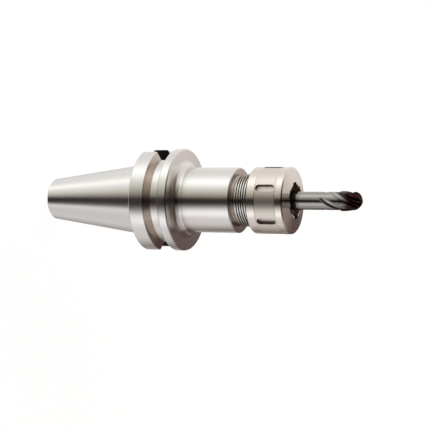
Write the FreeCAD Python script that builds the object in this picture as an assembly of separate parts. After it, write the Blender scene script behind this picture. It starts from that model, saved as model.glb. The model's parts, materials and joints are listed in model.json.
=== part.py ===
import FreeCAD, Part
import math
import os

# Collet chuck holder: a 7/24 steep taper shank with a gripper flange, a slim
# body and a ball-bearing clamping nut that draws a long, slotted collet onto
# the shank of a ball-nose end mill.
#
# Millimetres.  The row's origin is the centre of the gauge line of the taper,
# and +Z runs along the spindle axis towards the cutting edge.  Heights (names
# in _Z) are measured from the gauge line.

# --- Spindle taper and pull-stud hole ---------------------------------------
TAPER_RATIO = 7 / 24            # diameter lost per unit of length
GAUGE_DIA = 44.45
TAPER_LENGTH = 65.4
TAPER_END_CHAMFER = 1.0
NECK_DEPTH = 0.8                # grinding relief between taper and flange
NECK_START = 0.3
END_WALL = 4.1875               # small end's edge to the pull stud's pilot bore
PILOT_DEPTH = 7.0
PILOT_STEP = 0.5                # pilot bore to the thread's major diameter
PULL_STUD_PITCH = 2.0
THREAD_CORE_DEPTH = 0.54125     # radial depth of a metric thread of pitch 1
PULL_STUD_THREAD_DEPTH = 25.0
MOUTH_CHAMFER = 0.6

# --- Flange ------------------------------------------------------------------
FLANGE_GAP = 2.0                # gauge line to the flange's rear face
FLANGE_DIA = 63.0
FLANGE_LENGTH = 25.0
FLANGE_CHAMFER = 0.6
GROOVE_CENTRE = 14.6            # from the flange's rear face
GROOVE_DEPTH = 5.0
GROOVE_FLOOR_WIDTH = 4.2
GROOVE_HALF_ANGLE = 30.0
GROOVE_EDGE_CHAMFER = 0.3
DRIVE_SLOT_WIDTH = 16.1
DRIVE_SLOT_LAND = 0.375         # slot floor above the taper's gauge radius
DRIVE_SLOT_CORNER = 1.0

# --- Body, nose and coolant bore ---------------------------------------------
BODY_DIA = 40.0
BODY_LENGTH = 36.0
BODY_FILLET = 4.5
BODY_CHAMFER = 0.6
NOSE_LENGTH = 23.5              # shoulder to the end of the nose
NOSE_WALL = 3.2                 # collet mouth to the crest of the nut thread
NOSE_CHAMFER = 0.8
UNDERCUT_WIDTH = 1.2
UNDERCUT_DEPTH = 1.1
COOLANT_DIA = 8.0
DRILL_POINT = 0.577             # height of a drill point per unit of radius

# --- Collet ------------------------------------------------------------------
COLLET_MOUTH_DIA = 25.6         # on the seat, at the end of the nose
COLLET_HALF_ANGLE = 4.0
COLLET_SEAT_LENGTH = 46.5
COLLET_NECK = 0.5               # nose to the pull-out groove
COLLET_GROOVE_WIDTH = 1.2
COLLET_GROOVE_DEPTH = 1.3
COLLET_LIP_STEP = 0.5           # the lip is this much smaller than the mouth
COLLET_LIP_WIDTH = 0.3
COLLET_NOSE_HALF_ANGLE = 30.0
COLLET_NOSE_LENGTH = 4.7
COLLET_SLIT_WIDTH = 0.9
COLLET_SLIT_COUNT = 4           # from each end, turned half a pitch
COLLET_SLIT_WEB = 7.0           # uncut length at the far end of each slit
COLLET_RELIEF_DEPTH = 0.8       # wide middle of the bore, between two grips
COLLET_GRIP_LENGTH = 14.0

# --- Thrust bearing ----------------------------------------------------------
RING_LIFT = 0.6                 # nose to the thrust ring
RING_HEIGHT = 4.94
RING_INSET = 1.0                # the ring goes in through the nut's thread
RING_FOOT_STEP = 0.8            # room for the retaining ring
RING_FOOT_HEIGHT = 2.5
RING_HOOK_HEIGHT = 0.9
RING_HOOK_REACH = 0.5           # into the collet's pull-out groove
BALL_DIA = 2.4
BALL_COUNT = 18
RACE_INSET = 1.7                # ring's outside to the balls' centres
RACE_DEPTH = 0.37
CAGE_THICKNESS = 1.1
CAGE_WIDTH = 3.0
RETAINER_THICKNESS = 0.9
RETAINER_WIDTH = 1.35
RETAINER_GAP_ANGLE = 24.0

# --- Clamping nut ------------------------------------------------------------
NUT_SKIRT_WALL = 4.2            # thread crest to the outside
NUT_STAND_OFF = 10.4            # shoulder to the nut's rear face, tight
NUT_WALL = 3.2                  # race to the front edge
NUT_FACE_RISE = 1.5             # the front face is a shallow cone
NUT_REAR_CHAMFER = 1.0
NUT_FRONT_CHAMFER = 0.7
NUT_THREAD_RELIEF = 0.7
NOTCH_DEPTH = 1.4
NOTCH_WIDTH = 5.4
SPANNER_SLOT_COUNT = 6
SPANNER_SLOT_LENGTH = 12.1
SPANNER_SLOT_WIDTH = 4.5
SPANNER_SLOT_DEPTH = 2.0
SPANNER_SLOT_SETBACK = 11.25    # nut's front edge to the middle of a slot
NUT_CLOCKING = 2.7              # degrees, where the tight nut stops

# --- Ball-nose end mill ------------------------------------------------------
STICK_OUT = 43.3                # nut's front edge to the tip
MILL_HEAD_DIA = 12.0
MILL_NECK_DIA = 10.8
MILL_SHANK_DIA = 12.0
MILL_HEAD_LENGTH = 12.8
MILL_NECK_LENGTH = 32.5         # behind the head
MILL_END_CHAMFER = 0.6
STEP_HALF_ANGLE = 45.0          # cones between neck, head and shank
FLUTE_COUNT = 4
FLUTE_HELIX_ANGLE = 30.0
FLUTE_RADIUS = 2.6
FLUTE_CORE_DIA = 2.6            # at the tip
FLUTE_LENGTH = 27.0
FLUTE_CLOCKING = 55.0

# --- Stop screw --------------------------------------------------------------
STOP_SETBACK = 2.1              # collet's rear end to the top of the screw
STOP_THREAD_DIA = 14.0
STOP_SCREW_LENGTH = 14.0
STOP_NOSE_DIA = 10.0
STOP_NOSE_LENGTH = 3.0
STOP_TRAVEL = 12.0
STOP_FLOOR_MARGIN = 1.9
STOP_SOCKET_WIDTH = 6.0         # across flats
STOP_SOCKET_DEPTH = 6.0
STOP_BORE_DIA = 4.0
O_RING_SECTION = 1.2
O_RING_HEIGHT = 4.0             # above the bottom of the screw

# --- Clearances, all radial or axial gaps ------------------------------------
THREAD_CLEARANCE = 0.05
SEAT_CLEARANCE = 0.03
SHANK_CLEARANCE = 0.03
BALL_CLEARANCE = 0.05
STOP_CLEARANCE = 0.05
O_RING_CLEARANCE = 0.05
RETAINER_CLEARANCE = 0.05
RING_CLEARANCE = 0.3            # turning nut and retaining ring to the thrust ring
OPENING_CLEARANCE = 0.1         # nut's opening to the collet's front edge
SEAT_RUN_OUT = 1.5              # seat cone past the collet's rear end
OVERCUT = 5.0                   # how far cutters pass the faces they cut

# --- Heights and radii worked out from the above -----------------------------
SMALL_END_Z = -TAPER_LENGTH
FLANGE_REAR_Z = FLANGE_GAP
FLANGE_FRONT_Z = FLANGE_REAR_Z + FLANGE_LENGTH
GROOVE_Z = FLANGE_REAR_Z + GROOVE_CENTRE
SHOULDER_Z = FLANGE_FRONT_Z + BODY_LENGTH
NOSE_Z = SHOULDER_Z + NOSE_LENGTH
COLLET_REAR_Z = NOSE_Z - COLLET_SEAT_LENGTH
COLLET_GROOVE_Z = NOSE_Z + COLLET_NECK
COLLET_LIP_Z = COLLET_GROOVE_Z + COLLET_GROOVE_WIDTH
COLLET_CONE_Z = COLLET_LIP_Z + COLLET_LIP_WIDTH
COLLET_FRONT_Z = COLLET_CONE_Z + COLLET_NOSE_LENGTH
RING_Z = NOSE_Z + RING_LIFT
RING_TOP_Z = RING_Z + RING_HEIGHT
BALL_Z = RING_TOP_Z - RACE_DEPTH + BALL_DIA / 2 + BALL_CLEARANCE
NUT_RACE_Z = BALL_Z + BALL_DIA / 2 + BALL_CLEARANCE - RACE_DEPTH
NUT_FRONT_Z = NUT_RACE_Z + NUT_WALL
NUT_FACE_Z = NUT_FRONT_Z + NUT_FACE_RISE
NUT_REAR_Z = SHOULDER_Z + NUT_STAND_OFF
STOP_TOP_Z = COLLET_REAR_Z - STOP_SETBACK
STOP_BOTTOM_Z = STOP_TOP_Z - STOP_SCREW_LENGTH
STOP_FLOOR_Z = STOP_BOTTOM_Z - STOP_TRAVEL - STOP_FLOOR_MARGIN
O_RING_Z = STOP_BOTTOM_Z + O_RING_HEIGHT
MILL_TIP_Z = NUT_FRONT_Z + STICK_OUT
MILL_BOTTOM_Z = STOP_TOP_Z + STOP_CLEARANCE
SEAT_END_Z = COLLET_REAR_Z - SEAT_RUN_OUT

TAPER_SMALL_R = GAUGE_DIA / 2 - TAPER_LENGTH * TAPER_RATIO / 2
PILOT_R = TAPER_SMALL_R - END_WALL
PULL_STUD_CORE_R = PILOT_R - PILOT_STEP - PULL_STUD_PITCH * THREAD_CORE_DEPTH
DRIVE_SLOT_FLOOR_R = GAUGE_DIA / 2 + DRIVE_SLOT_LAND
COLLET_SLOPE = math.tan(math.radians(COLLET_HALF_ANGLE))
NOSE_SLOPE = math.tan(math.radians(COLLET_NOSE_HALF_ANGLE))
COLLET_MOUTH_R = COLLET_MOUTH_DIA / 2
COLLET_LIP_R = COLLET_MOUTH_R - COLLET_LIP_STEP
COLLET_FRONT_R = COLLET_LIP_R - COLLET_NOSE_LENGTH * NOSE_SLOPE
COLLET_BORE_R = MILL_SHANK_DIA / 2 + SHANK_CLEARANCE
STOP_WALL_R = STOP_THREAD_DIA / 2 + THREAD_CLEARANCE
O_RING_R = STOP_THREAD_DIA / 2 - O_RING_SECTION / 2
NOSE_R = COLLET_MOUTH_R + NOSE_WALL
NUT_R = NOSE_R + NUT_SKIRT_WALL
RING_R = NOSE_R - RING_INSET
RING_FOOT_R = RING_R - RING_FOOT_STEP
RACE_R = RING_R - RACE_INSET
CAVITY_R = RING_R + RING_CLEARANCE
OPENING_R = COLLET_FRONT_R + OPENING_CLEARANCE
NOTCH_R = OPENING_R + NOTCH_DEPTH
RETAINER_INNER_R = RING_FOOT_R + RING_CLEARANCE
RETAINER_OUTER_R = RETAINER_INNER_R + RETAINER_WIDTH
RETAINER_Z = RING_Z + RING_FOOT_HEIGHT - RETAINER_THICKNESS - RING_CLEARANCE

UP = FreeCAD.Vector(0, 0, 1)
CENTRE = FreeCAD.Vector(0, 0, 0)


def at(radius, z, angle=0.0):
    """Point at a radius and height, turned about the axis by an angle in degrees."""
    turn = math.radians(angle)
    return FreeCAD.Vector(radius * math.cos(turn), radius * math.sin(turn), z)


def revolve(outline):
    """Turned solid from a closed outline of (radius, z) points.

    A point written as (radius, z, via_radius, via_z) is reached by an arc
    through the via point.
    """
    edges = []
    last = at(*outline[-1][:2])
    for point in outline:
        here = at(*point[:2])
        if len(point) == 4:
            edges.append(Part.Arc(last, at(*point[2:]), here).toShape())
        elif here.distanceToPoint(last) > 1e-6:
            edges.append(Part.LineSegment(last, here).toShape())
        last = here
    face = Part.Face(Part.Wire(edges))
    return face.revolve(CENTRE, UP, 360)


def turned_copies(shape, count, first=0.0):
    """Copies of a shape at equal angles about the axis."""
    copies = []
    for index in range(count):
        copy = shape.copy()
        copy.rotate(CENTRE, UP, first + index * 360 / count)
        copies.append(copy)
    return copies


def tube(outer_r, inner_r, z, height):
    """Plain ring standing on a height."""
    outer = Part.makeCylinder(outer_r, height, at(0, z))
    return outer.cut(Part.makeCylinder(inner_r, height, at(0, z)))


def fillet_via(centre_r, centre_z, radius):
    """Middle of an inside fillet that runs from a face below to a wall inside."""
    reach = radius * math.sqrt(0.5)
    return centre_r - reach, centre_z - reach


# --- Holder body --------------------------------------------------------------

def holder_outline():
    """Outside and bore of the one-piece ground steel holder."""
    chamfer_r = TAPER_SMALL_R + TAPER_END_CHAMFER * TAPER_RATIO / 2
    neck_r = GAUGE_DIA / 2 - NECK_DEPTH
    rim_r = FLANGE_DIA / 2
    floor_r = rim_r - GROOVE_DEPTH
    groove_slope = math.tan(math.radians(GROOVE_HALF_ANGLE))
    groove_foot = GROOVE_FLOOR_WIDTH / 2
    groove_lip = groove_foot + (rim_r - floor_r) * groove_slope
    edge_drop = GROOVE_EDGE_CHAMFER / groove_slope * 0.5
    body_r = BODY_DIA / 2
    undercut_r = NOSE_R - UNDERCUT_DEPTH
    undercut_z = SHOULDER_Z + UNDERCUT_WIDTH
    fillet_r = body_r + BODY_FILLET
    fillet_z = FLANGE_FRONT_Z + BODY_FILLET
    pilot_z = SMALL_END_Z + PILOT_DEPTH
    stud_z = pilot_z + PULL_STUD_THREAD_DEPTH
    coolant_r = COOLANT_DIA / 2
    mouth_r = COLLET_MOUTH_R + SEAT_CLEARANCE
    seat_end_r = mouth_r - (NOSE_Z - SEAT_END_Z) * COLLET_SLOPE
    return [
        (PILOT_R + MOUTH_CHAMFER, SMALL_END_Z),
        (TAPER_SMALL_R - TAPER_END_CHAMFER, SMALL_END_Z),
        (chamfer_r, SMALL_END_Z + TAPER_END_CHAMFER),
        (GAUGE_DIA / 2, 0),
        (GAUGE_DIA / 2, NECK_START),
        (neck_r, NECK_START + NECK_DEPTH),
        (neck_r, FLANGE_REAR_Z),
        (rim_r - FLANGE_CHAMFER, FLANGE_REAR_Z),
        (rim_r, FLANGE_REAR_Z + FLANGE_CHAMFER),
        (rim_r, GROOVE_Z - groove_lip - GROOVE_EDGE_CHAMFER),
        (rim_r - edge_drop, GROOVE_Z - groove_lip + edge_drop * groove_slope),
        (floor_r, GROOVE_Z - groove_foot),
        (floor_r, GROOVE_Z + groove_foot),
        (rim_r - edge_drop, GROOVE_Z + groove_lip - edge_drop * groove_slope),
        (rim_r, GROOVE_Z + groove_lip + GROOVE_EDGE_CHAMFER),
        (rim_r, FLANGE_FRONT_Z - FLANGE_CHAMFER),
        (rim_r - FLANGE_CHAMFER, FLANGE_FRONT_Z),
        (fillet_r, FLANGE_FRONT_Z),
        (body_r, fillet_z, *fillet_via(fillet_r, fillet_z, BODY_FILLET)),
        (body_r, SHOULDER_Z - BODY_CHAMFER),
        (body_r - BODY_CHAMFER, SHOULDER_Z),
        (undercut_r, SHOULDER_Z),
        (undercut_r, undercut_z - UNDERCUT_DEPTH / 2),
        (NOSE_R, undercut_z + UNDERCUT_DEPTH / 2),
        (NOSE_R, NOSE_Z - NOSE_CHAMFER),
        (NOSE_R - NOSE_CHAMFER, NOSE_Z),
        (mouth_r, NOSE_Z),
        (seat_end_r, SEAT_END_Z),
        (STOP_WALL_R, SEAT_END_Z),
        (STOP_WALL_R, STOP_FLOOR_Z),
        (coolant_r, STOP_FLOOR_Z - (STOP_WALL_R - coolant_r) * DRILL_POINT),
        (coolant_r, stud_z + (PULL_STUD_CORE_R - coolant_r) * DRILL_POINT),
        (PULL_STUD_CORE_R, stud_z),
        (PULL_STUD_CORE_R, pilot_z),
        (PILOT_R, pilot_z),
        (PILOT_R, SMALL_END_Z + MOUTH_CHAMFER),
    ]


def drive_slot():
    """Cutter for one drive-key slot: from behind the flange to the groove's far foot."""
    end_z = GROOVE_Z + GROOVE_FLOOR_WIDTH / 2
    depth = FLANGE_DIA / 2 - DRIVE_SLOT_FLOOR_R + OVERCUT
    start_z = FLANGE_REAR_Z - NECK_DEPTH
    corner = FreeCAD.Vector(DRIVE_SLOT_FLOOR_R, -DRIVE_SLOT_WIDTH / 2, start_z)
    block = Part.makeBox(depth, DRIVE_SLOT_WIDTH, end_z - start_z, corner)
    end_edges = [
        edge for edge in block.Edges
        if all(abs(v.Point.z - end_z) < 1e-6 for v in edge.Vertexes)
        and abs(edge.Vertexes[0].Point.y - edge.Vertexes[-1].Point.y) < 1e-6
    ]
    return block.makeFillet(DRIVE_SLOT_CORNER, end_edges)


def make_holder_body():
    body = revolve(holder_outline())
    for cutter in turned_copies(drive_slot(), 2):
        body = body.cut(cutter)
    return body


# --- Clamping nut -------------------------------------------------------------

def race_groove():
    """Ring of the ball's own section, a little larger, that cuts both races."""
    return Part.makeTorus(RACE_R, BALL_DIA / 2 + BALL_CLEARANCE, at(0, BALL_Z), UP)


def spanner_slot():
    """Cutter for one blind, round-ended spanner slot in the nut's outside."""
    middle_z = NUT_FRONT_Z - SPANNER_SLOT_SETBACK
    end_r = SPANNER_SLOT_WIDTH / 2
    half = SPANNER_SLOT_LENGTH / 2 - end_r
    floor_r = NUT_R - SPANNER_SLOT_DEPTH
    depth = SPANNER_SLOT_DEPTH + OVERCUT
    outward = FreeCAD.Vector(1, 0, 0)
    corner = FreeCAD.Vector(floor_r, -end_r, middle_z - half)
    slot = Part.makeBox(depth, SPANNER_SLOT_WIDTH, 2 * half, corner)
    for end_z in (middle_z - half, middle_z + half):
        slot = slot.fuse(Part.makeCylinder(end_r, depth, at(floor_r, end_z), outward))
    return slot.removeSplitter()


def opening_notches():
    """Cutter for the notches round the nut's front opening."""
    height = NUT_FACE_Z - NUT_RACE_Z + 2 * OVERCUT
    bottom = NUT_RACE_Z - OVERCUT
    disc = Part.makeCylinder(NOTCH_R, height, at(0, bottom))
    corner = FreeCAD.Vector(0, -NOTCH_WIDTH / 2, bottom)
    bar = Part.makeBox(2 * NOTCH_R, NOTCH_WIDTH, height, corner)
    bars = turned_copies(bar, SPANNER_SLOT_COUNT)
    return disc.common(bars[0].fuse(bars[1:]))


def make_clamping_nut():
    thread_r = NOSE_R + THREAD_CLEARANCE
    thread_end_z = NOSE_Z + NUT_THREAD_RELIEF
    groove_r = RETAINER_OUTER_R + RETAINER_CLEARANCE
    groove_bottom = RETAINER_Z - RETAINER_CLEARANCE
    groove_top = RETAINER_Z + RETAINER_THICKNESS + RETAINER_CLEARANCE
    nut = revolve([
        (thread_r + NUT_REAR_CHAMFER, NUT_REAR_Z),
        (NUT_R - NUT_REAR_CHAMFER, NUT_REAR_Z),
        (NUT_R, NUT_REAR_Z + NUT_REAR_CHAMFER),
        (NUT_R, NUT_FRONT_Z - NUT_FRONT_CHAMFER),
        (NUT_R - NUT_FRONT_CHAMFER, NUT_FRONT_Z),
        (NOTCH_R, NUT_FACE_Z),
        (OPENING_R, NUT_FACE_Z),
        (OPENING_R, NUT_RACE_Z),
        (CAVITY_R, NUT_RACE_Z),
        (CAVITY_R, groove_top),
        (groove_r, groove_top),
        (groove_r, groove_bottom),
        (CAVITY_R, groove_bottom),
        (CAVITY_R, thread_end_z),
        (thread_r, thread_end_z),
        (thread_r, NUT_REAR_Z + NUT_REAR_CHAMFER),
    ])
    nut = nut.cut(race_groove())
    for cutter in turned_copies(spanner_slot(), SPANNER_SLOT_COUNT):
        nut = nut.cut(cutter)
    nut = nut.cut(opening_notches())
    nut.rotate(CENTRE, UP, NUT_CLOCKING)
    return nut


# --- Thrust bearing inside the nut ---------------------------------------------

def make_thrust_ring():
    """Ring that presses on the collet's nose cone and hooks into its groove."""
    hook_r = COLLET_LIP_R - RING_HOOK_REACH
    hook_top_z = RING_Z + RING_HOOK_HEIGHT
    cone_top_r = COLLET_LIP_R - (RING_TOP_Z - COLLET_CONE_Z) * NOSE_SLOPE
    foot_z = RING_Z + RING_FOOT_HEIGHT
    ring = revolve([
        (hook_r, RING_Z),
        (RING_FOOT_R, RING_Z),
        (RING_FOOT_R, foot_z),
        (RING_R, foot_z),
        (RING_R, RING_TOP_Z),
        (cone_top_r, RING_TOP_Z),
        (COLLET_LIP_R, COLLET_CONE_Z),
        (COLLET_LIP_R, hook_top_z),
        (hook_r, hook_top_z),
    ])
    return ring.cut(race_groove())


def make_retaining_ring():
    """Sprung ring in the nut's groove that keeps the bearing in the nut."""
    ring = tube(RETAINER_OUTER_R, RETAINER_INNER_R, RETAINER_Z, RETAINER_THICKNESS)
    gap = Part.makeCylinder(
        2 * RETAINER_OUTER_R, 2 * OVERCUT, at(0, RETAINER_Z - OVERCUT), UP, RETAINER_GAP_ANGLE)
    return ring.cut(gap)


def make_bearing_balls():
    ball = Part.makeSphere(BALL_DIA / 2, at(RACE_R, BALL_Z))
    return turned_copies(ball, BALL_COUNT)


def make_ball_cage():
    bottom = BALL_Z - CAGE_THICKNESS / 2
    half = CAGE_WIDTH / 2
    cage = tube(RACE_R + half, RACE_R - half, bottom, CAGE_THICKNESS)
    pocket_r = BALL_DIA / 2 + BALL_CLEARANCE
    pocket = Part.makeCylinder(pocket_r, 2 * CAGE_THICKNESS, at(RACE_R, bottom - CAGE_THICKNESS / 2))
    for cutter in turned_copies(pocket, BALL_COUNT):
        cage = cage.cut(cutter)
    return cage


# --- Collet ---------------------------------------------------------------------

def make_collet():
    rear_r = COLLET_MOUTH_R - COLLET_SEAT_LENGTH * COLLET_SLOPE
    shank_r = COLLET_MOUTH_R + COLLET_NECK * COLLET_SLOPE
    groove_r = COLLET_MOUTH_R - COLLET_GROOVE_DEPTH
    relief_r = COLLET_BORE_R + COLLET_RELIEF_DEPTH
    grip = COLLET_GRIP_LENGTH
    collet = revolve([
        (COLLET_BORE_R, COLLET_REAR_Z),
        (rear_r, COLLET_REAR_Z),
        (shank_r, COLLET_GROOVE_Z),
        (groove_r, COLLET_GROOVE_Z),
        (groove_r, COLLET_LIP_Z),
        (COLLET_LIP_R, COLLET_LIP_Z),
        (COLLET_LIP_R, COLLET_CONE_Z),
        (COLLET_FRONT_R, COLLET_FRONT_Z),
        (COLLET_BORE_R, COLLET_FRONT_Z),
        (COLLET_BORE_R, COLLET_FRONT_Z - grip),
        (relief_r, COLLET_FRONT_Z - grip - COLLET_RELIEF_DEPTH),
        (relief_r, COLLET_REAR_Z + grip + COLLET_RELIEF_DEPTH),
        (COLLET_BORE_R, COLLET_REAR_Z + grip),
    ])
    length = COLLET_FRONT_Z - COLLET_REAR_Z
    slit_length = length - COLLET_SLIT_WEB
    half_pitch = 180 / COLLET_SLIT_COUNT
    for bottom, first in ((COLLET_REAR_Z + COLLET_SLIT_WEB, 0), (COLLET_REAR_Z - OVERCUT, half_pitch)):
        corner = FreeCAD.Vector(0, -COLLET_SLIT_WIDTH / 2, bottom)
        slit = Part.makeBox(COLLET_MOUTH_DIA, COLLET_SLIT_WIDTH, slit_length + OVERCUT, corner)
        for cutter in turned_copies(slit, COLLET_SLIT_COUNT, first):
            collet = collet.cut(cutter)
    return collet


# --- Ball-nose end mill -----------------------------------------------------------

def flute_cutter():
    """Ground flute, swept from the tip along a helix that climbs out of the neck.

    It is drawn with the tip at z = 0 and the shank above it.
    """
    lead = math.pi * MILL_HEAD_DIA / math.tan(math.radians(FLUTE_HELIX_ANGLE))
    start_r = FLUTE_CORE_DIA / 2 + FLUTE_RADIUS
    end_r = MILL_NECK_DIA / 2 + FLUTE_RADIUS
    cone = math.degrees(math.atan2(end_r - start_r, FLUTE_LENGTH))
    path = Part.makeHelix(lead, FLUTE_LENGTH, start_r, cone)
    path.translate(FreeCAD.Vector(0, 0, -FLUTE_RADIUS / 2))
    start = path.Vertexes[0].Point
    tangent = path.Edges[0].tangentAt(path.Edges[0].FirstParameter)
    section = Part.Wire(Part.makeCircle(FLUTE_RADIUS, start, tangent))
    return Part.Wire(path).makePipeShell([section], True, True)


def make_end_mill():
    """Carbide ball-nose end mill, built tip down and then turned over."""
    head_r = MILL_HEAD_DIA / 2
    neck_r = MILL_NECK_DIA / 2
    shank_r = MILL_SHANK_DIA / 2
    length = MILL_TIP_Z - MILL_BOTTOM_Z
    step = 1 / math.tan(math.radians(STEP_HALF_ANGLE))
    neck_z = MILL_HEAD_LENGTH + (head_r - neck_r) * step
    shank_z = MILL_HEAD_LENGTH + MILL_NECK_LENGTH
    arc_mid = head_r * math.sqrt(0.5)
    blank = revolve([
        (0, 0),
        (head_r, head_r, arc_mid, head_r - arc_mid),
        (head_r, MILL_HEAD_LENGTH),
        (neck_r, neck_z),
        (neck_r, shank_z - (shank_r - neck_r) * step),
        (shank_r, shank_z),
        (shank_r, length - MILL_END_CHAMFER),
        (shank_r - MILL_END_CHAMFER, length),
        (0, length),
    ])
    for cutter in turned_copies(flute_cutter(), FLUTE_COUNT, FLUTE_CLOCKING):
        blank = blank.cut(cutter)
    blank.rotate(CENTRE, FreeCAD.Vector(1, 0, 0), 180)
    blank.translate(at(0, MILL_TIP_Z))
    return blank


# --- Stop screw and its seal --------------------------------------------------------

def hexagon(across_flats, z, height):
    """Upright hexagonal prism on the axis."""
    corner_r = across_flats / math.sqrt(3)
    corners = [at(corner_r, z, 60 * side) for side in range(6)]
    face = Part.Face(Part.makePolygon(corners + corners[:1]))
    return face.extrude(FreeCAD.Vector(0, 0, height))


def make_stop_screw():
    thread_r = STOP_THREAD_DIA / 2
    nose_r = STOP_NOSE_DIA / 2
    bore_r = STOP_BORE_DIA / 2
    groove_r = O_RING_R - O_RING_SECTION / 2 - O_RING_CLEARANCE
    groove_half = O_RING_SECTION / 2 + O_RING_CLEARANCE
    nose_z = STOP_TOP_Z - STOP_NOSE_LENGTH
    screw = revolve([
        (bore_r, STOP_BOTTOM_Z),
        (thread_r, STOP_BOTTOM_Z),
        (thread_r, O_RING_Z - groove_half),
        (groove_r, O_RING_Z - groove_half),
        (groove_r, O_RING_Z + groove_half),
        (thread_r, O_RING_Z + groove_half),
        (thread_r, nose_z),
        (nose_r, nose_z),
        (nose_r, STOP_TOP_Z),
        (bore_r, STOP_TOP_Z),
    ])
    return screw.cut(hexagon(STOP_SOCKET_WIDTH, STOP_TOP_Z - STOP_SOCKET_DEPTH, STOP_SOCKET_DEPTH + OVERCUT))


def make_o_ring():
    return Part.makeTorus(O_RING_R, O_RING_SECTION / 2, at(0, O_RING_Z), UP)


# --- Export ---------------------------------------------------------------------------

nodes = {
    "holder_body": make_holder_body(),
    "clamping_nut": make_clamping_nut(),
    "thrust_ring": make_thrust_ring(),
    "retaining_ring": make_retaining_ring(),
    "ball_cage": make_ball_cage(),
    "collet": make_collet(),
    "end_mill": make_end_mill(),
    "stop_screw": make_stop_screw(),
    "stop_screw_o_ring": make_o_ring(),
}
for number, ball in enumerate(make_bearing_balls(), start=1):
    nodes[f"bearing_ball_{number:02d}"] = ball

os.makedirs("parts", exist_ok=True)
for name, shape in nodes.items():
    shape.exportStep(f"parts/{name}.step")
    print(f"{name:20s} valid={shape.isValid()} solids={len(shape.Solids)} volume={shape.Volume:.1f} mm3")
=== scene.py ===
import json
import math

import bpy
from mathutils import Matrix, Vector

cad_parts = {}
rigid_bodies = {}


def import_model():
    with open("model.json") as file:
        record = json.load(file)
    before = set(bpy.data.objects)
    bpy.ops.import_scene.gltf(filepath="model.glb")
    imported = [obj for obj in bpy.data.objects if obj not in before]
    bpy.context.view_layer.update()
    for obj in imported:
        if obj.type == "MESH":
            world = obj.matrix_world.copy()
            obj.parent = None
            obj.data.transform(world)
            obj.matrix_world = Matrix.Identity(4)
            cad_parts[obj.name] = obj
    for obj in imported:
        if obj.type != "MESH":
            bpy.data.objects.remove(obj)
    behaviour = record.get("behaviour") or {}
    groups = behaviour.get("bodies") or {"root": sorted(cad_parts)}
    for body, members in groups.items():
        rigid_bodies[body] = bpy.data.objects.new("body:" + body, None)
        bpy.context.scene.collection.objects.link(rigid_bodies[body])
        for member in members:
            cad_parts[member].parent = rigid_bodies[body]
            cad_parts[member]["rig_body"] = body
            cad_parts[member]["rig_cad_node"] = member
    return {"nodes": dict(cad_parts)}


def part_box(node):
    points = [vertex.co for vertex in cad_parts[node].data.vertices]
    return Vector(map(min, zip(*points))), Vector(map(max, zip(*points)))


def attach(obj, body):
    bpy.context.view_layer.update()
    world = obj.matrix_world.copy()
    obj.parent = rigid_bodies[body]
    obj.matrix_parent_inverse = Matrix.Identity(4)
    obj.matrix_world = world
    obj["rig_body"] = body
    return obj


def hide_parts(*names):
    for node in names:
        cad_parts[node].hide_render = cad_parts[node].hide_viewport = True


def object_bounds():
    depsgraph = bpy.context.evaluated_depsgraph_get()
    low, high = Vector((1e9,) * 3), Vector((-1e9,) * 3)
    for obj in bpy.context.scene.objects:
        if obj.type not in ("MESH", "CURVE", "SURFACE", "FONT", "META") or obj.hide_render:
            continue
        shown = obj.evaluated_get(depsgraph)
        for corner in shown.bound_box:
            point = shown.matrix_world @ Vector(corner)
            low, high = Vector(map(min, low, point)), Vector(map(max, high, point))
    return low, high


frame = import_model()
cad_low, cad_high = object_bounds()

MM = 0.001

# --- Camera -----------------------------------------------------------------------
# The holder stands on its taper. The camera looks down on it from the cutter's side and
# is rolled a quarter turn, so that the spindle axis lies across the picture.

LENS = 116.0
CAMERA_DISTANCE = 782.6 * MM          # from the spindle axis
CAMERA_HEIGHT = 380.6 * MM            # above the gauge line
CAMERA_TURN = math.radians(6.0)       # round the axis, away from the front
CAMERA_DIP = 0.404                    # down from the horizontal
CAMERA_ROLL = math.radians(0.44)
CAMERA_LIFT = math.radians(0.62)      # leaves the axis a little above the middle

toward = Vector((-math.sin(CAMERA_TURN), -math.cos(CAMERA_TURN), 0))
axis = Vector((0, 0, 1))
forward = (-toward * math.cos(CAMERA_DIP) - axis * math.sin(CAMERA_DIP)).normalized()
right = (axis * math.cos(CAMERA_DIP) - toward * math.sin(CAMERA_DIP)).normalized()
up = right.cross(forward)
lift = Matrix.Rotation(-CAMERA_LIFT, 3, right)
roll = Matrix.Rotation(CAMERA_ROLL, 3, -forward)
turned = roll @ lift @ Matrix((right, up, -forward)).transposed()
camera_data = bpy.data.cameras.new("camera")
camera_data.lens = LENS
camera_data.sensor_width = 36
camera_data.clip_start = 0.01
camera = bpy.data.objects.new("camera", camera_data)
camera.matrix_world = Matrix.Translation(toward * CAMERA_DISTANCE + axis * CAMERA_HEIGHT) @ turned.to_4x4()
bpy.context.scene.collection.objects.link(camera)
bpy.context.scene.camera = camera
bpy.context.scene.view_settings.view_transform = "Standard"

# --- Light tent and floor -------------------------------------------------------------
# A white tent with a narrow dark gap where the camera looks in, which draws the dark line
# along every turned surface. The floor is white, and only a soft shadow shows on it.



def round_ramp(nodes, links, share, table):
    """Colour ramp round the spindle axis, from degrees, brightness and green and blue shares."""
    ramp = nodes.new("ShaderNodeValToRGB")
    stops = ramp.color_ramp.elements
    for number, (degrees, level, green, blue) in enumerate(table):
        place = degrees / 360 + 0.5
        stop = stops[number] if number < 2 else stops.new(place)
        stop.position = place
        stop.color = (level, level * green, level * blue, 1)
    links.new(share, ramp.inputs["Fac"])
    return ramp.outputs["Color"]


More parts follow.
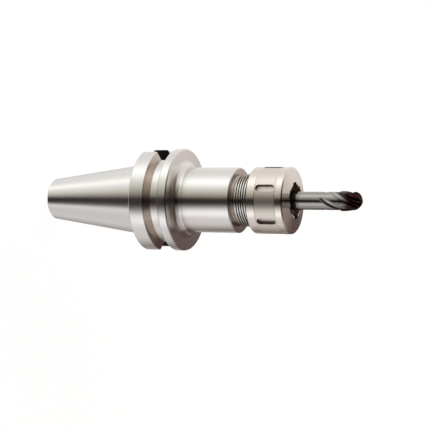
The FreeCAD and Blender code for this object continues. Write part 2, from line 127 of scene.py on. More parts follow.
def fade_between(nodes, links, value, start, end):
    """Goes smoothly from 0 where the value is at start to 1 where it is at end."""
    fade = nodes.new("ShaderNodeMapRange")
    fade.interpolation_type = "SMOOTHSTEP"
    fade.inputs["From Min"].default_value = start
    fade.inputs["From Max"].default_value = end
    links.new(value, fade.inputs["Value"])
    return fade.outputs[0]


def mixed_colour(nodes, links, factor, first, second, blend="MIX"):
    """Mixes two colours, or multiplies them, by a factor."""
    mixer = nodes.new("ShaderNodeMix")
    mixer.data_type = "RGBA"
    mixer.blend_type = blend
    if isinstance(factor, (int, float)):
        mixer.inputs["Factor"].default_value = factor
    else:
        links.new(factor, mixer.inputs["Factor"])
    for slot, colour in (("A", first), ("B", second)):
        if isinstance(colour, tuple):
            mixer.inputs[slot].default_value = (*colour, 1)
        else:
            links.new(colour, mixer.inputs[slot])
    return mixer.outputs["Result"]


world = bpy.data.worlds.new("tent")
bpy.context.scene.world = world
world.use_nodes = True
nodes = world.node_tree.nodes
links = world.node_tree.links
nodes.clear()
direction = nodes.new("ShaderNodeTexCoord")
turn = nodes.new("ShaderNodeMapping")
turn.vector_type = "VECTOR"
turn.inputs["Rotation"].default_value = (0, 0, CAMERA_TURN)
links.new(direction.outputs["Generated"], turn.inputs["Vector"])
parts = nodes.new("ShaderNodeSeparateXYZ")
links.new(turn.outputs["Vector"], parts.inputs[0])
around = nodes.new("ShaderNodeMath")
around.operation = "ARCTAN2"
links.new(parts.outputs["X"], around.inputs[0])
back = nodes.new("ShaderNodeMath")
back.operation = "MULTIPLY"
back.inputs[1].default_value = -1
links.new(parts.outputs["Y"], back.inputs[0])
links.new(back.outputs[0], around.inputs[1])
share = nodes.new("ShaderNodeMapRange")
share.inputs["From Min"].default_value = -math.pi
share.inputs["From Max"].default_value = math.pi
links.new(around.outputs[0], share.inputs["Value"])
# angle round the spindle axis from the camera, in degrees, brightness, and the share of it
# that is green and blue: negative is the side that is up in the picture
TENT = (
    (-180, 0.78, 0.95, 0.93), (-160, 0.94, 0.96, 0.94), (-130, 0.88, 0.97, 0.94), (-110, 0.84, 0.98, 0.95),
    (-93, 0.98, 0.98, 0.96), (-66, 1.42, 1.00, 1.00), (-54, 1.25, 1.00, 0.98), (-43, 0.92, 1.00, 0.93),
    (-32, 0.71, 0.97, 0.89), (-21, 0.49, 0.95, 0.82), (-10, 0.26, 0.89, 0.74), (-3, 0.02, 0.70, 0.55),
    (8, 0.01, 0.70, 0.55), (14, 0.06, 0.85, 0.78), (21, 0.28, 0.96, 0.92), (32, 0.76, 0.99, 0.98),
    (45, 1.22, 1.00, 1.01), (54, 1.18, 1.01, 1.01), (66, 0.84, 0.97, 0.99), (80, 0.76, 0.93, 0.96),
    (93, 0.72, 0.93, 0.92), (110, 0.46, 0.92, 0.88), (131, 0.19, 0.90, 0.88), (160, 0.48, 0.88, 0.86),
)
# the same below the horizon, where the taper looks: the table beside the holder
TABLE = (
    (-180, 0.60, 0.95, 0.93), (-125, 0.88, 1.00, 1.00), (-95, 0.89, 1.00, 0.97), (-71, 1.30, 1.00, 0.98),
    (-51, 0.90, 1.00, 0.96), (-32, 0.67, 0.98, 0.88), (-14, 0.28, 0.92, 0.80), (-3, 0.02, 0.60, 0.50),
    (13, 0.015, 0.60, 0.50), (25, 0.12, 0.90, 0.85), (39, 0.82, 1.00, 0.99), (58, 0.66, 1.00, 0.99),
    (81, 0.66, 1.00, 0.98), (107, 0.72, 1.00, 0.98), (150, 0.40, 0.95, 0.93), (179, 0.60, 0.95, 0.93),
)
# above the horizon the gap is wider and less dark
ROOM = (
    (-105, 1.0, 1.0, 1.0), (-50, 0.50, 0.95, 0.91), (-25, 0.34, 0.934, 0.8812),
    (25, 0.34, 0.934, 0.8812), (50, 0.45, 0.945, 0.901), (105, 0.9, 0.99, 0.982),
)
# sine of the angle above the floor, and the colour: dim overhead
OVERHEAD = (
    (0.0, 1.0, 1.0, 1.0), (0.45, 1.0, 0.97, 0.96), (0.70, 0.80, 0.77, 0.74),
    (0.82, 0.24, 0.20, 0.17), (1.0, 0.05, 0.035, 0.028),
)
sine = parts.outputs["Z"]
level_light = round_ramp(nodes, links, share.outputs[0], TENT)
table_light = round_ramp(nodes, links, share.outputs[0], TABLE)
room_dark = round_ramp(nodes, links, share.outputs[0], ROOM)
overhead = nodes.new("ShaderNodeValToRGB")
stops = overhead.color_ramp.elements
for number, (height, red, green, blue) in enumerate(OVERHEAD):
    place = (height + 1) / 2
    stop = stops[number] if number < 2 else stops.new(place)
    stop.position = place
    stop.color = (red, green, blue, 1)
raised = nodes.new("ShaderNodeMapRange")
raised.inputs["From Min"].default_value = -1
links.new(sine, raised.inputs["Value"])
links.new(raised.outputs[0], overhead.inputs["Fac"])
below = fade_between(nodes, links, sine, -0.42, -0.52)
above = fade_between(nodes, links, sine, -0.15, 0.20)
light = mixed_colour(nodes, links, below, level_light, table_light)
light = mixed_colour(nodes, links, above, light, room_dark, "MULTIPLY")
light = mixed_colour(nodes, links, 1, light, overhead.outputs["Color"], "MULTIPLY")
seen = nodes.new("ShaderNodeLightPath")
light = mixed_colour(nodes, links, seen.outputs["Is Camera Ray"], light, (1, 1, 1))
sky = nodes.new("ShaderNodeBackground")
links.new(light, sky.inputs["Color"])
out = nodes.new("ShaderNodeOutputWorld")
links.new(sky.outputs[0], out.inputs["Surface"])

FLOOR_SIZE = 12.0
FLOOR_DROP = 0.05 * MM
FLOOR_GREY = 0.36                     # takes the holder's shadow
FLOOR_GLOW = 0.90
bpy.ops.object.select_all(action="DESELECT")
bpy.ops.mesh.primitive_plane_add(size=FLOOR_SIZE, location=(0, 0, cad_low.z - FLOOR_DROP))
floor = bpy.context.object
floor.name = "floor"
paper = bpy.data.materials.new("floor_paper")
paper.use_nodes = True
nodes = paper.node_tree.nodes
links = paper.node_tree.links
nodes.clear()
matt = nodes.new("ShaderNodeBsdfDiffuse")
matt.inputs["Color"].default_value = (FLOOR_GREY, FLOOR_GREY, FLOOR_GREY, 1)
glow = nodes.new("ShaderNodeEmission")
glow.inputs["Color"].default_value = (1, 1, 1, 1)
glow.inputs["Strength"].default_value = FLOOR_GLOW
both = nodes.new("ShaderNodeAddShader")
links.new(matt.outputs[0], both.inputs[0])
links.new(glow.outputs[0], both.inputs[1])
clear = nodes.new("ShaderNodeBsdfTransparent")
seen = nodes.new("ShaderNodeLightPath")
choose = nodes.new("ShaderNodeMixShader")
links.new(seen.outputs["Is Glossy Ray"], choose.inputs["Fac"])
links.new(both.outputs[0], choose.inputs[1])
links.new(clear.outputs[0], choose.inputs[2])
out = nodes.new("ShaderNodeOutputMaterial")
links.new(choose.outputs[0], out.inputs["Surface"])
floor.data.materials.append(paper)

# a dark card behind the holder, seen only in the metal: the flat front faces darken towards it
CARD_DISTANCE = 150 * MM
CARD_WIDTH = 320 * MM
CARD_HEIGHT = 360 * MM
CARD_MIDDLE_Z = 205 * MM
CARD_EDGE = (-12 * MM, 48 * MM)       # fades in along X
CARD_TOP = (270 * MM, 150 * MM)       # fades in downwards
bpy.ops.object.select_all(action="DESELECT")
bpy.ops.mesh.primitive_plane_add(size=1, rotation=(math.pi / 2, 0, 0))
card = bpy.context.object
card.name = "card"
card.scale = (CARD_WIDTH, CARD_HEIGHT, 1)
bpy.ops.object.transform_apply(rotation=True, scale=True)
card.data.transform(Matrix.Translation((CARD_EDGE[0] + CARD_WIDTH / 2, CARD_DISTANCE, CARD_MIDDLE_Z)))
felt = bpy.data.materials.new("card_felt")
felt.use_nodes = True
nodes = felt.node_tree.nodes
links = felt.node_tree.links
nodes.clear()
place = nodes.new("ShaderNodeTexCoord")
split = nodes.new("ShaderNodeSeparateXYZ")
links.new(place.outputs["Object"], split.inputs[0])
seen = nodes.new("ShaderNodeLightPath")
mask = fade_between(nodes, links, split.outputs["X"], *CARD_EDGE)
for part in (fade_between(nodes, links, split.outputs["Z"], *CARD_TOP), seen.outputs["Is Glossy Ray"]):
    both = nodes.new("ShaderNodeMath")
    both.operation = "MULTIPLY"
    links.new(mask, both.inputs[0])
    links.new(part, both.inputs[1])
    mask = both.outputs[0]
clear = nodes.new("ShaderNodeBsdfTransparent")
dark = nodes.new("ShaderNodeEmission")
dark.inputs["Color"].default_value = (0.11, 0.075, 0.075, 1)
choose = nodes.new("ShaderNodeMixShader")
links.new(mask, choose.inputs["Fac"])
links.new(clear.outputs[0], choose.inputs[1])
links.new(dark.outputs[0], choose.inputs[2])
out = nodes.new("ShaderNodeOutputMaterial")
links.new(choose.outputs[0], out.inputs["Surface"])
card.data.materials.append(felt)

# --- Holder: taper, flange, body and nose ------------------------------------------------
# One piece of hardened tool steel, turned, then ground on the taper and the body. The two
# drive slots are milled through the rear rim, and the nut's thread is cut on the nose.

low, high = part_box("holder_body")
RIM_R = high.x
SMALL_END_Z = low.z
NOSE_Z = high.z
GAUGE_R = 22.225 * MM
TAPER_SLOPE = 7 / 48
FLANGE_Z = (2.0 * MM, 27.0 * MM)
GROOVE_Z = (11.6 * MM, 14.5 * MM, 18.7 * MM, 21.6 * MM)
GROOVE_R = 26.5 * MM
BODY_R = 20.0 * MM
SHOULDER_Z = 63.0 * MM
COVE = 4.5 * MM
THREAD_CORE_R = 15.1 * MM
THREAD_PITCH = 1.5 * MM
RIDGE_TURNS = 14
RIDGE_DEPTH = 0.88 * MM
RIDGE_FLANK = 0.44 * MM
RIDGE_CREST = 0.38 * MM
SLOT_WIDTH = 16.1 * MM
SLOT_FLOOR = 22.6 * MM
SLOT_START_Z = 1.2 * MM
SLOT_REACH = 14 * MM                  # from the slot's floor to past the rim
SEAT_R = (12.83 * MM, 9.46 * MM)      # collet seat, at the nose and at its rear end
SEAT_REAR_Z = 38.5 * MM
STOP_BORE_R = 7.05 * MM
STOP_FLOOR_Z = (10.0 * MM, 8.2 * MM)  # the stop screw's bore ends in a drill point
COOLANT_R = 4.0 * MM
COOLANT_END_Z = -31.7 * MM
STUD_BORE_R = 6.92 * MM               # core of the pull stud's thread
STUD_BORE_Z = (-33.4 * MM, -58.4 * MM)
PILOT_R = 8.5 * MM
PILOT_MOUTH = 0.6 * MM
RIM_CHAMFER = 0.6 * MM
NECK_DEPTH = 0.8 * MM                 # grinding relief in front of the taper
NECK_Z = (0.3 * MM, 1.1 * MM)
TAPER_ROUND = 1.0 * MM
GROOVE_LIP = 0.3 * MM
NOSE_CHAMFER = 0.3 * MM
UNDERCUT = 0.2 * MM
UNDERCUT_LENGTH = 1.2 * MM


def select_only(piece):
    """Selects one piece and makes it the one that operators work on."""
    bpy.ops.object.select_all(action="DESELECT")
    piece.select_set(True)
    bpy.context.view_layer.objects.active = piece


def turn_part(name, outline, sides=192):
    """Draws a closed half outline by extruding one corner, and spins it round the axis."""
    bpy.ops.object.select_all(action="DESELECT")
    bpy.ops.mesh.primitive_plane_add(size=MM, location=(outline[0][0], 0, outline[0][1]))
    piece = bpy.context.object
    piece.name = name
    bpy.ops.object.transform_apply(location=True)
    bpy.ops.object.mode_set(mode="EDIT")
    bpy.ops.mesh.merge(type="CENTER")
    for last, here in zip(outline, outline[1:]):
        step = (here[0] - last[0], 0, here[1] - last[1])
        bpy.ops.mesh.extrude_vertices_move(TRANSFORM_OT_translate={"value": step})
    bpy.ops.mesh.select_all(action="SELECT")
    bpy.ops.object.mode_set(mode="OBJECT")
    ends = (piece.data.vertices[0].index, piece.data.vertices[-1].index)
    for vertex in piece.data.vertices:
        vertex.select = vertex.index in ends
    for edge in piece.data.edges:
        edge.select = False
    bpy.ops.object.mode_set(mode="EDIT")
    if outline[0][0] > 0 or outline[-1][0] > 0:
        bpy.ops.mesh.edge_face_add()
    bpy.ops.mesh.select_all(action="SELECT")
    bpy.ops.mesh.spin(steps=sides, angle=2 * math.pi, center=(0, 0, 0), axis=(0, 0, 1))
    bpy.ops.mesh.select_all(action="SELECT")
    bpy.ops.mesh.remove_doubles(threshold=0.002 * MM)
    bpy.ops.mesh.normals_make_consistent(inside=False)
    bpy.ops.object.mode_set(mode="OBJECT")
    return piece


def cut_away(piece, cutter):
    """Takes the cutter out of the piece, as a milling pass does."""
    bpy.ops.object.select_all(action="DESELECT")
    bpy.context.view_layer.objects.active = piece
    cut = piece.modifiers.new("cut", "BOOLEAN")
    cut.operation = "DIFFERENCE"
    cut.solver = "EXACT"
    cut.object = cutter
    bpy.ops.object.modifier_apply(modifier=cut.name)
    bpy.data.objects.remove(cutter)


def break_edges(piece, width):
    """Rounds every sharp edge a little, and keeps the faces beside them flat."""
    select_only(piece)
    edge = piece.modifiers.new("edge", "BEVEL")
    edge.width = width
    edge.segments = 2
    edge.limit_method = "ANGLE"
    edge.angle_limit = math.radians(20)
    edge.use_clamp_overlap = True
    bpy.ops.object.modifier_apply(modifier=edge.name)
    bpy.ops.object.shade_smooth_by_angle(angle=math.radians(50))
    weigh = piece.modifiers.new("weigh", "WEIGHTED_NORMAL")
    weigh.keep_sharp = True
    weigh.weight = 80
    bpy.ops.object.modifier_apply(modifier=weigh.name)


def turned_metal(name, colour, roughness, stretch, lines, depth):
    """Bare metal with fine lathe or grinding lines round the spindle axis."""
    metal = bpy.data.materials.new(name)
    metal.use_nodes = True
    nodes = metal.node_tree.nodes
    links = metal.node_tree.links
    shader = nodes["Principled BSDF"]
    shader.inputs["Metallic"].default_value = 1
    shader.inputs["Anisotropic"].default_value = stretch
    shader.inputs["Anisotropic Rotation"].default_value = 0.25
    round_axis = nodes.new("ShaderNodeTangent")
    round_axis.direction_type = "RADIAL"
    round_axis.axis = "Z"
    links.new(round_axis.outputs[0], shader.inputs["Tangent"])
    place = nodes.new("ShaderNodeTexCoord")
    split = nodes.new("ShaderNodeSeparateXYZ")
    links.new(place.outputs["Object"], split.inputs[0])
    flat = nodes.new("ShaderNodeVectorMath")
    flat.operation = "MULTIPLY"
    flat.inputs[1].default_value = (1, 1, 0)
    links.new(place.outputs["Object"], flat.inputs[0])
    radius = nodes.new("ShaderNodeVectorMath")
    radius.operation = "LENGTH"
    links.new(flat.outputs[0], radius.inputs[0])
    station = nodes.new("ShaderNodeCombineXYZ")
    links.new(radius.outputs["Value"], station.inputs["X"])
    links.new(split.outputs["Z"], station.inputs["Y"])
    rings = nodes.new("ShaderNodeTexNoise")
    rings.inputs["Scale"].default_value = lines
    rings.inputs["Detail"].default_value = 6
    rings.inputs["Roughness"].default_value = 0.75
    links.new(station.outputs[0], rings.inputs["Vector"])
    blotch = nodes.new("ShaderNodeTexNoise")
    blotch.inputs["Scale"].default_value = 60
    blotch.inputs["Detail"].default_value = 3
    links.new(place.outputs["Object"], blotch.inputs["Vector"])
    sheen = nodes.new("ShaderNodeMapRange")
    sheen.name = "sheen"
    sheen.inputs["To Min"].default_value = roughness * 0.80
    sheen.inputs["To Max"].default_value = roughness * 1.20
    links.new(rings.outputs[0], sheen.inputs["Value"])
    links.new(sheen.outputs[0], shader.inputs["Roughness"])
    tone = nodes.new("ShaderNodeMix")
    tone.data_type = "RGBA"
    tone.inputs["A"].default_value = [c * 0.94 for c in colour] + [1]
    tone.inputs["B"].default_value = [min(1, c * 1.04) for c in colour] + [1]
    blend = nodes.new("ShaderNodeMath")
    blend.operation = "ADD"
    half = nodes.new("ShaderNodeMath")
    half.operation = "MULTIPLY"
    half.inputs[1].default_value = 0.5
    links.new(rings.outputs[0], blend.inputs[0])
    links.new(blotch.outputs[0], blend.inputs[1])
    links.new(blend.outputs[0], half.inputs[0])
    links.new(half.outputs[0], tone.inputs["Factor"])
    links.new(tone.outputs["Result"], shader.inputs["Base Color"])
    groove = nodes.new("ShaderNodeBump")
    groove.inputs["Strength"].default_value = 0.25
    groove.inputs["Distance"].default_value = depth
    links.new(rings.outputs[0], groove.inputs["Height"])
    links.new(groove.outputs[0], shader.inputs["Normal"])
    return metal


small_r = GAUGE_R + SMALL_END_Z * TAPER_SLOPE
outline = [
    (PILOT_R + PILOT_MOUTH, SMALL_END_Z),
    (small_r - TAPER_ROUND, SMALL_END_Z),
    (small_r + TAPER_ROUND * TAPER_SLOPE, SMALL_END_Z + TAPER_ROUND),
    (GAUGE_R, 0),
    (GAUGE_R, NECK_Z[0]),
    (GAUGE_R - NECK_DEPTH, NECK_Z[1]),
    (GAUGE_R - NECK_DEPTH, FLANGE_Z[0]),
    (RIM_R - RIM_CHAMFER, FLANGE_Z[0]),
    (RIM_R, FLANGE_Z[0] + RIM_CHAMFER),
    (RIM_R, GROOVE_Z[0] - 0.2 * MM),
    (RIM_R - GROOVE_LIP, GROOVE_Z[0] + 0.17 * MM),
    (GROOVE_R, GROOVE_Z[1]),
    (GROOVE_R, GROOVE_Z[2]),
    (RIM_R - GROOVE_LIP, GROOVE_Z[3] - 0.17 * MM),
    (RIM_R, GROOVE_Z[3] + 0.2 * MM),
    (RIM_R, FLANGE_Z[1] - RIM_CHAMFER),
    (RIM_R - RIM_CHAMFER, FLANGE_Z[1]),
]
for number in range(9):
    angle = math.pi / 2 * number / 8
    cove_r = BODY_R + COVE * (1 - math.sin(angle))
    outline.append((cove_r, FLANGE_Z[1] + COVE * (1 - math.cos(angle))))
outline += [
    (BODY_R, SHOULDER_Z - RIM_CHAMFER),
    (BODY_R - RIM_CHAMFER, SHOULDER_Z),
    (THREAD_CORE_R - UNDERCUT, SHOULDER_Z),
    (THREAD_CORE_R - UNDERCUT, SHOULDER_Z + 0.8 * MM),
    (THREAD_CORE_R, SHOULDER_Z + UNDERCUT_LENGTH),
    (THREAD_CORE_R, NOSE_Z - 0.9 * MM),
    (THREAD_CORE_R - NOSE_CHAMFER, NOSE_Z),
    (SEAT_R[0], NOSE_Z),
    (SEAT_R[1], SEAT_REAR_Z),
    (STOP_BORE_R, SEAT_REAR_Z),
    (STOP_BORE_R, STOP_FLOOR_Z[0]),
    (COOLANT_R, STOP_FLOOR_Z[1]),
    (COOLANT_R, COOLANT_END_Z),
    (STUD_BORE_R, STUD_BORE_Z[0]),
    (STUD_BORE_R, STUD_BORE_Z[1]),
    (PILOT_R, STUD_BORE_Z[1]),
    (PILOT_R, SMALL_END_Z + PILOT_MOUTH),
]
holder = turn_part("holder", outline)
for side in (-1, 1):
    bpy.ops.object.select_all(action="DESELECT")
    bpy.ops.mesh.primitive_cube_add(
        size=1, location=(side * (SLOT_FLOOR + SLOT_REACH / 2), 0, (SLOT_START_Z + GROOVE_Z[2]) / 2))
    cutter = bpy.context.object
    cutter.scale = (SLOT_REACH, SLOT_WIDTH, GROOVE_Z[2] - SLOT_START_Z)
    bpy.ops.object.transform_apply(location=True, scale=True)
    cut_away(holder, cutter)

# the nut's thread: one ridge that climbs a pitch each turn, and sinks into the core at its ends
bpy.ops.object.select_all(action="DESELECT")
ridge_low_z = SHOULDER_Z + 0.9 * MM
bpy.ops.mesh.primitive_plane_add(size=MM, location=(THREAD_CORE_R, 0, ridge_low_z))
ridge = bpy.context.object
ridge.name = "ridge"
bpy.ops.object.transform_apply(location=True)
bpy.ops.object.mode_set(mode="EDIT")
bpy.ops.mesh.merge(type="CENTER")
for step in ((-0.3 * MM, 0, -0.02 * MM), (0.3 * MM, 0, 0.06 * MM), (RIDGE_DEPTH, 0, RIDGE_FLANK),
             (0.02 * MM, 0, RIDGE_CREST), (-RIDGE_DEPTH - 0.02 * MM, 0, RIDGE_FLANK),
             (-0.3 * MM, 0, 0.06 * MM)):
    bpy.ops.mesh.extrude_vertices_move(TRANSFORM_OT_translate={"value": step})
bpy.ops.object.mode_set(mode="OBJECT")
climb = ridge.modifiers.new("climb", "SCREW")
climb.axis = "Z"
climb.angle = 2 * math.pi * RIDGE_TURNS
climb.screw_offset = THREAD_PITCH * RIDGE_TURNS
climb.steps = 96 * RIDGE_TURNS
climb.render_steps = 96 * RIDGE_TURNS
climb.use_normal_calculate = True
bpy.ops.object.modifier_apply(modifier=climb.name)
bpy.ops.object.mode_set(mode="EDIT")
bpy.ops.mesh.select_all(action="SELECT")
bpy.ops.mesh.normals_make_consistent(inside=False)
bpy.ops.object.mode_set(mode="OBJECT")
break_edges(holder, 0.12 * MM)
select_only(ridge)
bpy.ops.object.shade_smooth_by_angle(angle=math.radians(25))
holder.select_set(True)
bpy.context.view_layer.objects.active = holder
bpy.ops.object.join()
holder_steel = turned_metal("holder_steel", (0.80, 0.785, 0.765), 0.21, 0.7, 500, 0.003 * MM)
# painted shade: near black in the drive slots and a darker brown on the groove's flanks, chosen for looks
slot_painted_shade = turned_metal("slot_painted_shade", (0.05, 0.038, 0.036), 0.45, 0.0, 700, 0.01 * MM)
groove_painted_shade = turned_metal("groove_painted_shade", (0.60, 0.54, 0.49), 0.14, 0.7, 500, 0.003 * MM)
# painted shade: darker browns on the thread's flanks and on the face that it starts from, chosen for looks
thread_painted_shade = turned_metal("thread_painted_shade", (0.27, 0.235, 0.20), 0.25, 0.5, 700, 0.003 * MM)
shoulder_painted_shade = turned_metal("shoulder_painted_shade", (0.56, 0.50, 0.45), 0.24, 0.5, 500, 0.003 * MM)
holder.data.materials.clear()
for steel in (holder_steel, slot_painted_shade, groove_painted_shade, thread_painted_shade, shoulder_painted_shade):
    holder.data.materials.append(steel)
# painted shade goes on the drive slots, the groove's flanks, the thread's flanks and the shoulder face
for face in holder.data.polygons:
    middle = face.center
    in_slot = abs(middle.y) < SLOT_WIDTH / 2 + 0.02 * MM and abs(middle.x) > SLOT_FLOOR - 0.1 * MM
    if in_slot and middle.z < GROOVE_Z[2] + 0.05 * MM:
        face.material_index = 1
    elif abs(face.normal.z) > 0.7 and GROOVE_Z[0] < middle.z < GROOVE_Z[3] and middle.xy.length > GROOVE_R:
        face.material_index = 2
    elif middle.z > SHOULDER_Z + 0.05 * MM and abs(face.normal.z) > 0.3:
        face.material_index = 3
    elif middle.z > SHOULDER_Z - 0.05 * MM and face.normal.z > 0.9:
        face.material_index = 4
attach(holder, "holder")
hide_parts("holder_body")

# --- Collet, bearing and stop screw --------------------------------------------------------
# Small parts inside the nose and the nut. They keep the shapes that they were machined to,
# and only need smooth shading and a finish. The collet's near black colour is painted shade.


def machined(node, name, body, material):
    """Smooth copy of a small machined part."""
    piece = frame["nodes"][node].copy()
    piece.data = piece.data.copy()
    piece.name = name
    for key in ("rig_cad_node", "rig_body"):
        del piece[key]
    piece.parent = None
    piece.matrix_world = Matrix.Identity(4)
    bpy.context.scene.collection.objects.link(piece)
    select_only(piece)
    bpy.ops.object.mode_set(mode="EDIT")
    bpy.ops.mesh.select_all(action="SELECT")
    bpy.ops.mesh.remove_doubles(threshold=0.001 * MM)
    bpy.ops.object.mode_set(mode="OBJECT")
    bpy.ops.object.shade_smooth_by_angle(angle=math.radians(25))
    piece.data.materials.clear()
    piece.data.materials.append(material)
    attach(piece, body)
    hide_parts(node)
    return piece


# painted shade: the collet is near black, for the shade deep inside the nut's opening
collet_steel = turned_metal("collet_steel", (0.13, 0.10, 0.085), 0.30, 0.5, 700, 0.003 * MM)
ring_steel = turned_metal("ring_steel", (0.62, 0.61, 0.60), 0.18, 0.5, 700, 0.002 * MM)
cage_brass = turned_metal("cage_brass", (0.62, 0.44, 0.17), 0.30, 0.3, 700, 0.003 * MM)
dark_steel = turned_metal("dark_steel", (0.09, 0.09, 0.09), 0.35, 0.3, 700, 0.003 * MM)
machined("collet", "slit_collet", "collet_carriage", collet_steel)
machined("thrust_ring", "bearing_ring", "collet_carriage", ring_steel)
machined("ball_cage", "brass_cage", "ball_race", cage_brass)
machined("retaining_ring", "spring_ring", "nut", dark_steel)
machined("stop_screw", "backing_screw", "stop", dark_steel)
for node in [n for n in frame["nodes"] if n.startswith("bearing_ball")]:
    machined(node, node.replace("bearing_ball", "race_ball"), "ball_race", ring_steel)

seal_rubber = bpy.data.materials.new("seal_rubber")
seal_rubber.use_nodes = True
nodes = seal_rubber.node_tree.nodes
links = seal_rubber.node_tree.links
shader = nodes["Principled BSDF"]
grain = nodes.new("ShaderNodeTexNoise")
grain.inputs["Scale"].default_value = 3000
place = nodes.new("ShaderNodeTexCoord")
links.new(place.outputs["Object"], grain.inputs["Vector"])
dull = nodes.new("ShaderNodeMapRange")
dull.inputs["To Min"].default_value = 0.45
dull.inputs["To Max"].default_value = 0.65
links.new(grain.outputs[0], dull.inputs["Value"])
links.new(dull.outputs[0], shader.inputs["Roughness"])
shader.inputs["Base Color"].default_value = (0.02, 0.02, 0.02, 1)
machined("stop_screw_o_ring", "seal_ring", "stop_seal", seal_rubber)

# --- Clamping nut -----------------------------------------------------------------------
# A nickel-plated steel nut. A satin band with six spanner slots lies between two polished
# ends, and notches round the front opening let the collet be clicked into its ring.

low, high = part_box("clamping_nut")
NUT_R = 20.2 * MM
NUT_REAR_Z = low.z
NUT_FACE_Z = high.z
NUT_FRONT_Z = NUT_FACE_Z - 1.5 * MM
NUT_TURN = math.radians(2.7)
OPENING_R = 9.69 * MM
NOTCH_R = 11.09 * MM
NOTCH_WIDTH = 5.4 * MM
BAND_Z = (79.4 * MM, 92.2 * MM)
BAND_LINE = 0.22 * MM
THREAD_RELIEF_R = 17.05 * MM
NUT_THREAD_R = 16.05 * MM
BEARING_BORE_R = 15.3 * MM
BEARING_Z = (87.2 * MM, 93.8 * MM)
SATIN = 0.42                          # roughness of the band and of the polished ends
POLISH = 0.18
SLOT_LENGTH = 12.1 * MM
NUT_SLOT_WIDTH = 4.5 * MM
SLOT_DEPTH = 2.0 * MM
SLOT_MIDDLE_Z = NUT_FRONT_Z - 11.25 * MM
nut = turn_part("nut", [
    (THREAD_RELIEF_R, NUT_REAR_Z),
    (NUT_R - 1.0 * MM, NUT_REAR_Z),
    (NUT_R, NUT_REAR_Z + 1.0 * MM),
    (NUT_R, BAND_Z[0] - BAND_LINE),
    (NUT_R - BAND_LINE, BAND_Z[0]),
    (NUT_R - 0.05 * MM, BAND_Z[0] + BAND_LINE),
    (NUT_R - 0.05 * MM, BAND_Z[1] - BAND_LINE),
    (NUT_R - BAND_LINE, BAND_Z[1]),
    (NUT_R, BAND_Z[1] + BAND_LINE),
    (NUT_R, NUT_FRONT_Z - 0.7 * MM),
    (NUT_R - 0.7 * MM, NUT_FRONT_Z),
    (NOTCH_R, NUT_FACE_Z),
    (OPENING_R, NUT_FACE_Z),
    (OPENING_R, BEARING_Z[1]),
    (BEARING_BORE_R, BEARING_Z[1]),
    (BEARING_BORE_R, BEARING_Z[0]),
    (NUT_THREAD_R, BEARING_Z[0]),
    (NUT_THREAD_R, NUT_REAR_Z + 1.0 * MM),
])
for number in range(6):
    angle = NUT_TURN + number * math.pi / 3
    bpy.ops.object.select_all(action="DESELECT")
    bpy.ops.mesh.primitive_cylinder_add(
        vertices=32, radius=NUT_SLOT_WIDTH / 2, depth=2 * SLOT_DEPTH,
        location=(NUT_R, 0, SLOT_MIDDLE_Z), rotation=(0, math.pi / 2, 0))
    cutter = bpy.context.object
    bpy.ops.object.transform_apply(location=True, rotation=True)
    for vertex in cutter.data.vertices:
        side = 1 if vertex.co.z > SLOT_MIDDLE_Z else -1
        vertex.co.z += side * (SLOT_LENGTH - NUT_SLOT_WIDTH) / 2
    cutter.data.transform(Matrix.Rotation(angle, 4, "Z"))
    cut_away(nut, cutter)
    bpy.ops.object.select_all(action="DESELECT")
    bpy.ops.mesh.primitive_cube_add(size=1, location=(NOTCH_R / 2 + OPENING_R / 2 - 2.5 * MM, 0, 96 * MM))
    cutter = bpy.context.object
    cutter.scale = (NOTCH_R - OPENING_R + 5 * MM, NOTCH_WIDTH, 12 * MM)
    bpy.ops.object.transform_apply(location=True, scale=True)
    cutter.data.transform(Matrix.Rotation(angle, 4, "Z"))
    cut_away(nut, cutter)
break_edges(nut, 0.10 * MM)
nut_nickel = turned_metal("nut_nickel", (0.80, 0.74, 0.69), 0.22, 0.7, 600, 0.004 * MM)
# between the two fine lines the nut is satin, which blurs what it reflects
nodes = nut_nickel.node_tree.nodes
links = nut_nickel.node_tree.links
place = nodes.new("ShaderNodeTexCoord")
split = nodes.new("ShaderNodeSeparateXYZ")
links.new(place.outputs["Object"], split.inputs[0])
band = nodes.new("ShaderNodeValToRGB")
band.color_ramp.interpolation = "CONSTANT"
spread = nodes.new("ShaderNodeMapRange")
spread.inputs["From Min"].default_value = NUT_REAR_Z
spread.inputs["From Max"].default_value = NUT_FACE_Z
links.new(split.outputs["Z"], spread.inputs["Value"])
links.new(spread.outputs[0], band.inputs["Fac"])
stops = band.color_ramp.elements
for number, (z, dullness) in enumerate(((NUT_REAR_Z, POLISH), (BAND_Z[0], SATIN), (BAND_Z[1], POLISH))):
    place = (z - NUT_REAR_Z) / (NUT_FACE_Z - NUT_REAR_Z)
    stop = stops[number] if number < 2 else stops.new(place)
    stop.position = place
    stop.color = (dullness, dullness, dullness, 1)
links.new(band.outputs["Color"], nodes["Principled BSDF"].inputs["Roughness"])
# painted shade: the walls of the spanner slots are dark brown
slot_wall_painted_shade = turned_metal("slot_wall_painted_shade", (0.26, 0.20, 0.17), 0.40, 0.0, 700, 0.01 * MM)
nut.data.materials.clear()
nut.data.materials.append(nut_nickel)
nut.data.materials.append(slot_wall_painted_shade)
for face in nut.data.polygons:
    middle = face.center
    outward = Vector((middle.x, middle.y, 0)).normalized()
    beside = abs(face.normal.dot(outward)) < 0.5 and middle.xy.length > NUT_R - SLOT_DEPTH
    if beside and abs(middle.z - SLOT_MIDDLE_Z) < SLOT_LENGTH / 2 + 0.1 * MM:
        face.material_index = 1
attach(nut, "nut")
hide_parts("clamping_nut")

# --- End mill -------------------------------------------------------------------------------
# Solid carbide with a coating that is darkest at the ball end. Four helical flutes are
# ground from the tip and run out into the neck, and the shank is held in the collet.

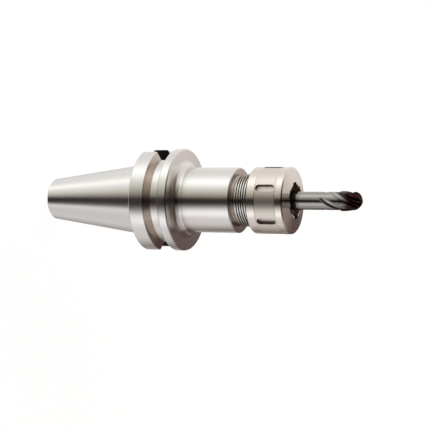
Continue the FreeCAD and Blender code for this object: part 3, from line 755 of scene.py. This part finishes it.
HEAD_R = 6.0 * MM
HEAD_LENGTH = 12.8 * MM
NECK_R = 5.4 * MM
NECK_END = 45.3 * MM                  # behind the tip
SHANK_CHAMFER = 0.6 * MM
FLUTES = 4
FLUTE_R = 2.6 * MM
FLUTE_CORE_R = 1.3 * MM
FLUTE_LENGTH = 27.0 * MM
FLUTE_TURN = math.radians(-55.0)
FLUTE_STEPS = 72
HELIX_ANGLE = math.radians(30.0)
COAT_FADE = (16 * MM, 7 * MM)         # behind the tip, where the coating darkens
coated_carbide = turned_metal("coated_carbide", (0.36, 0.35, 0.34), 0.12, 0.4, 900, 0.001 * MM)
nodes = coated_carbide.node_tree.nodes
links = coated_carbide.node_tree.links
low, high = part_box("end_mill")
place = nodes.new("ShaderNodeTexCoord")
split = nodes.new("ShaderNodeSeparateXYZ")
links.new(place.outputs["Object"], split.inputs[0])
fade = fade_between(nodes, links, split.outputs["Z"], high.z - COAT_FADE[0], high.z - COAT_FADE[1])
shader = nodes["Principled BSDF"]
bare = shader.inputs["Base Color"].links[0].from_socket
links.new(mixed_colour(nodes, links, fade, bare, (0.030, 0.012, 0.012)), shader.inputs["Base Color"])
tip_z = high.z
outline = [(0, tip_z)]
for number in range(1, 17):
    angle = math.pi / 2 * number / 16
    outline.append((HEAD_R * math.sin(angle), tip_z - HEAD_R * (1 - math.cos(angle))))
for number in range(1, 7):
    outline.append((HEAD_R, tip_z - HEAD_R - (HEAD_LENGTH - HEAD_R) * number / 6))
neck_start = HEAD_LENGTH + HEAD_R - NECK_R
for number in range(25):
    outline.append((NECK_R, tip_z - neck_start - (NECK_END - HEAD_R + NECK_R - neck_start) * number / 24))
outline += [
    (HEAD_R, tip_z - NECK_END),
    (HEAD_R, low.z + SHANK_CHAMFER),
    (HEAD_R - SHANK_CHAMFER, low.z),
    (0, low.z),
]
mill = turn_part("mill", outline, 96)
lead = 2 * math.pi * HEAD_R / math.tan(HELIX_ANGLE)
near_r = FLUTE_CORE_R + FLUTE_R
far_r = NECK_R + FLUTE_R
for number in range(FLUTES):
    bpy.ops.object.select_all(action="DESELECT")
    bpy.ops.curve.primitive_bezier_curve_add()
    wheel = bpy.context.object
    wheel.data.splines.clear()
    path = wheel.data.splines.new("POLY")
    path.points.add(FLUTE_STEPS)
    for step, point in enumerate(path.points):
        share = step / FLUTE_STEPS
        angle = FLUTE_TURN + number * 2 * math.pi / FLUTES - share * FLUTE_LENGTH / lead * 2 * math.pi
        r = near_r + (far_r - near_r) * share
        z = tip_z + FLUTE_R / 2 - share * FLUTE_LENGTH
        point.co = (r * math.cos(angle), r * math.sin(angle), z, 1)
    wheel.data.dimensions = "3D"
    wheel.data.bevel_depth = FLUTE_R
    wheel.data.bevel_resolution = 10
    wheel.data.use_fill_caps = True
    select_only(wheel)
    bpy.ops.object.convert(target="MESH")
    bpy.ops.object.mode_set(mode="EDIT")
    bpy.ops.mesh.select_all(action="SELECT")
    bpy.ops.mesh.remove_doubles(threshold=0.001 * MM)
    bpy.ops.mesh.normals_make_consistent(inside=False)
    bpy.ops.object.mode_set(mode="OBJECT")
    cut_away(mill, wheel)
select_only(mill)
bpy.ops.object.shade_smooth_by_angle(angle=math.radians(22))
mill.data.materials.clear()
mill.data.materials.append(coated_carbide)
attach(mill, "tool")
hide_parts("end_mill")
